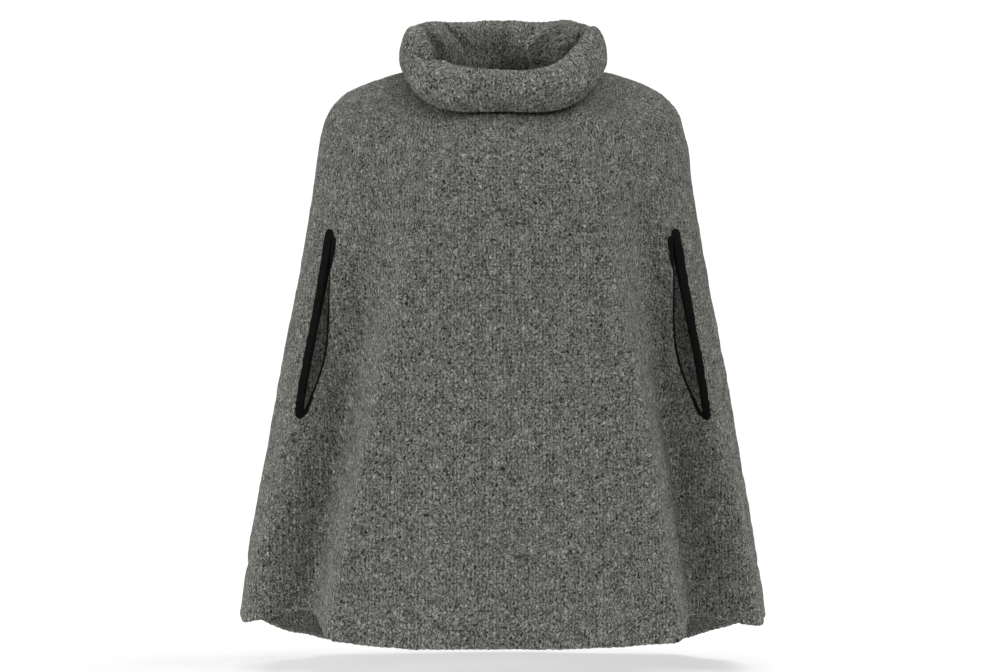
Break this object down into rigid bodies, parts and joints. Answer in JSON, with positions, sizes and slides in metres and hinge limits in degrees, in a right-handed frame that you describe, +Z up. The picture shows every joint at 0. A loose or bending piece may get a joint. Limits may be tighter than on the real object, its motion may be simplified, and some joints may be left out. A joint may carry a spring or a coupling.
{
  "type": "knitted poncho sweater",
  "caption": "Knitted wool poncho sweater, worn and hollow, with a roll collar, taped arm slits and a turned-up hem.",
  "frame": {"origin": "inside the neck seam, at the height of the shoulders' neck points, where the wearer's shoulders hold the garment", "axes": "+Z up, the front faces -Y, the wearer's left is +X"},
  "size_m": [0.68, 0.3649, 0.8411],
  "materials": {
    "grey_wool": "thick felted knit of heather grey wool, matt and slightly hairy",
    "black_tape": "black woven tape, matt"
  },
  "bodies": {
    "root": {"front": "grey_wool", "back": "grey_wool", "roll_collar": "grey_wool", "slit_binding_left": "black_tape", "slit_binding_right": "black_tape"}
  },
  "joints": []
}
